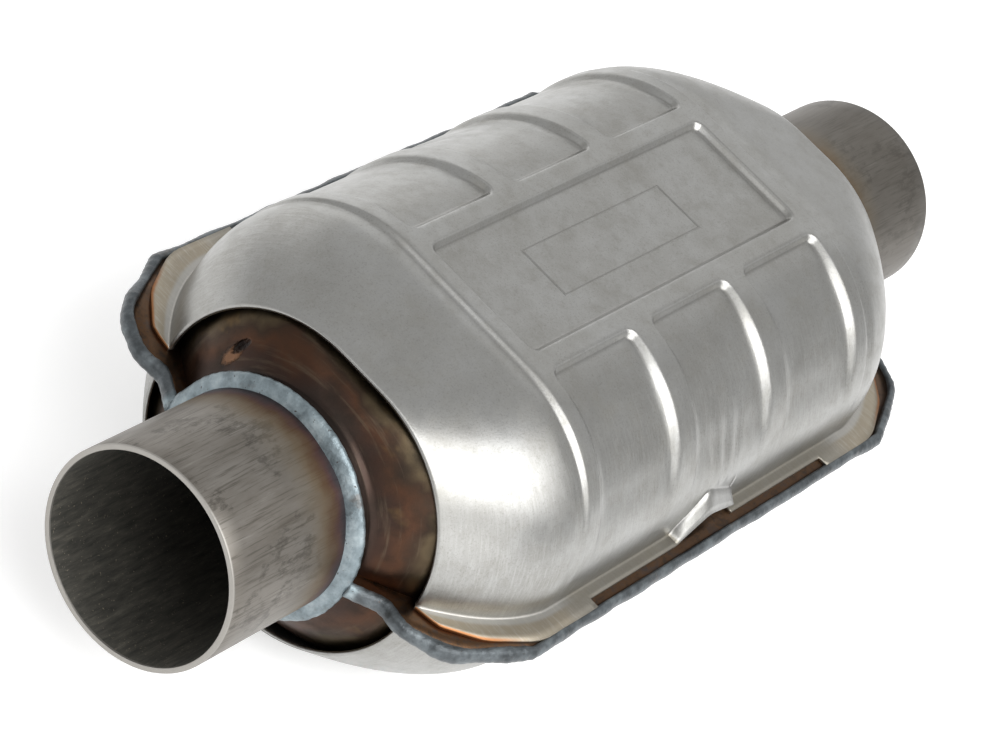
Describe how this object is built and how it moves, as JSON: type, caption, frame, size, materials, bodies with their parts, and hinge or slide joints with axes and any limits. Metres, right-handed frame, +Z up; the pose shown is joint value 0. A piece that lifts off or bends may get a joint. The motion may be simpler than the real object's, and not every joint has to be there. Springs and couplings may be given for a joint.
{
  "type": "catalytic converter",
  "caption": "Oval catalytic converter: two welded can halves between stamped heat shields, straight tubes at both ends, ceramic bricks in mats inside.",
  "frame": {"origin": "centre of the part, on the tube axis and in the plane of the welded seam", "axes": "+X along the gas flow from inlet tube to outlet tube, +Z up out of the upper heat shield, +Y across"},
  "size_m": [0.33, 0.1448, 0.098],
  "materials": {
    "shield_steel": "satin stamped stainless sheet, faint blotches",
    "can_steel": "heat tinted brown and bronze stainless sheet",
    "tube_steel": "drawn tube with lengthwise streaks, straw tint at the weld",
    "weld_bead": "blue grey oxidised weld bead",
    "ceramic": "matt washcoated cordierite",
    "mat_fibre": "matt fibre mat",
    "wire_mesh": "knitted steel wire, pressed"
  },
  "bodies": {
    "root": {"upper_can_shell": "can_steel", "lower_can_shell": "can_steel", "upper_heat_shield": "shield_steel", "lower_heat_shield": "shield_steel", "inlet_pipe": "tube_steel", "outlet_pipe": "tube_steel", "inlet_neck_weld": "weld_bead", "outlet_neck_weld": "weld_bead", "left_seam_weld": "weld_bead", "right_seam_weld": "weld_bead", "front_brick": "ceramic", "rear_brick": "ceramic", "front_support_mat": "mat_fibre", "rear_support_mat": "mat_fibre", "front_brick_inlet_seal": "wire_mesh", "front_brick_outlet_seal": "wire_mesh", "rear_brick_inlet_seal": "wire_mesh", "rear_brick_outlet_seal": "wire_mesh"}
  },
  "joints": []
}
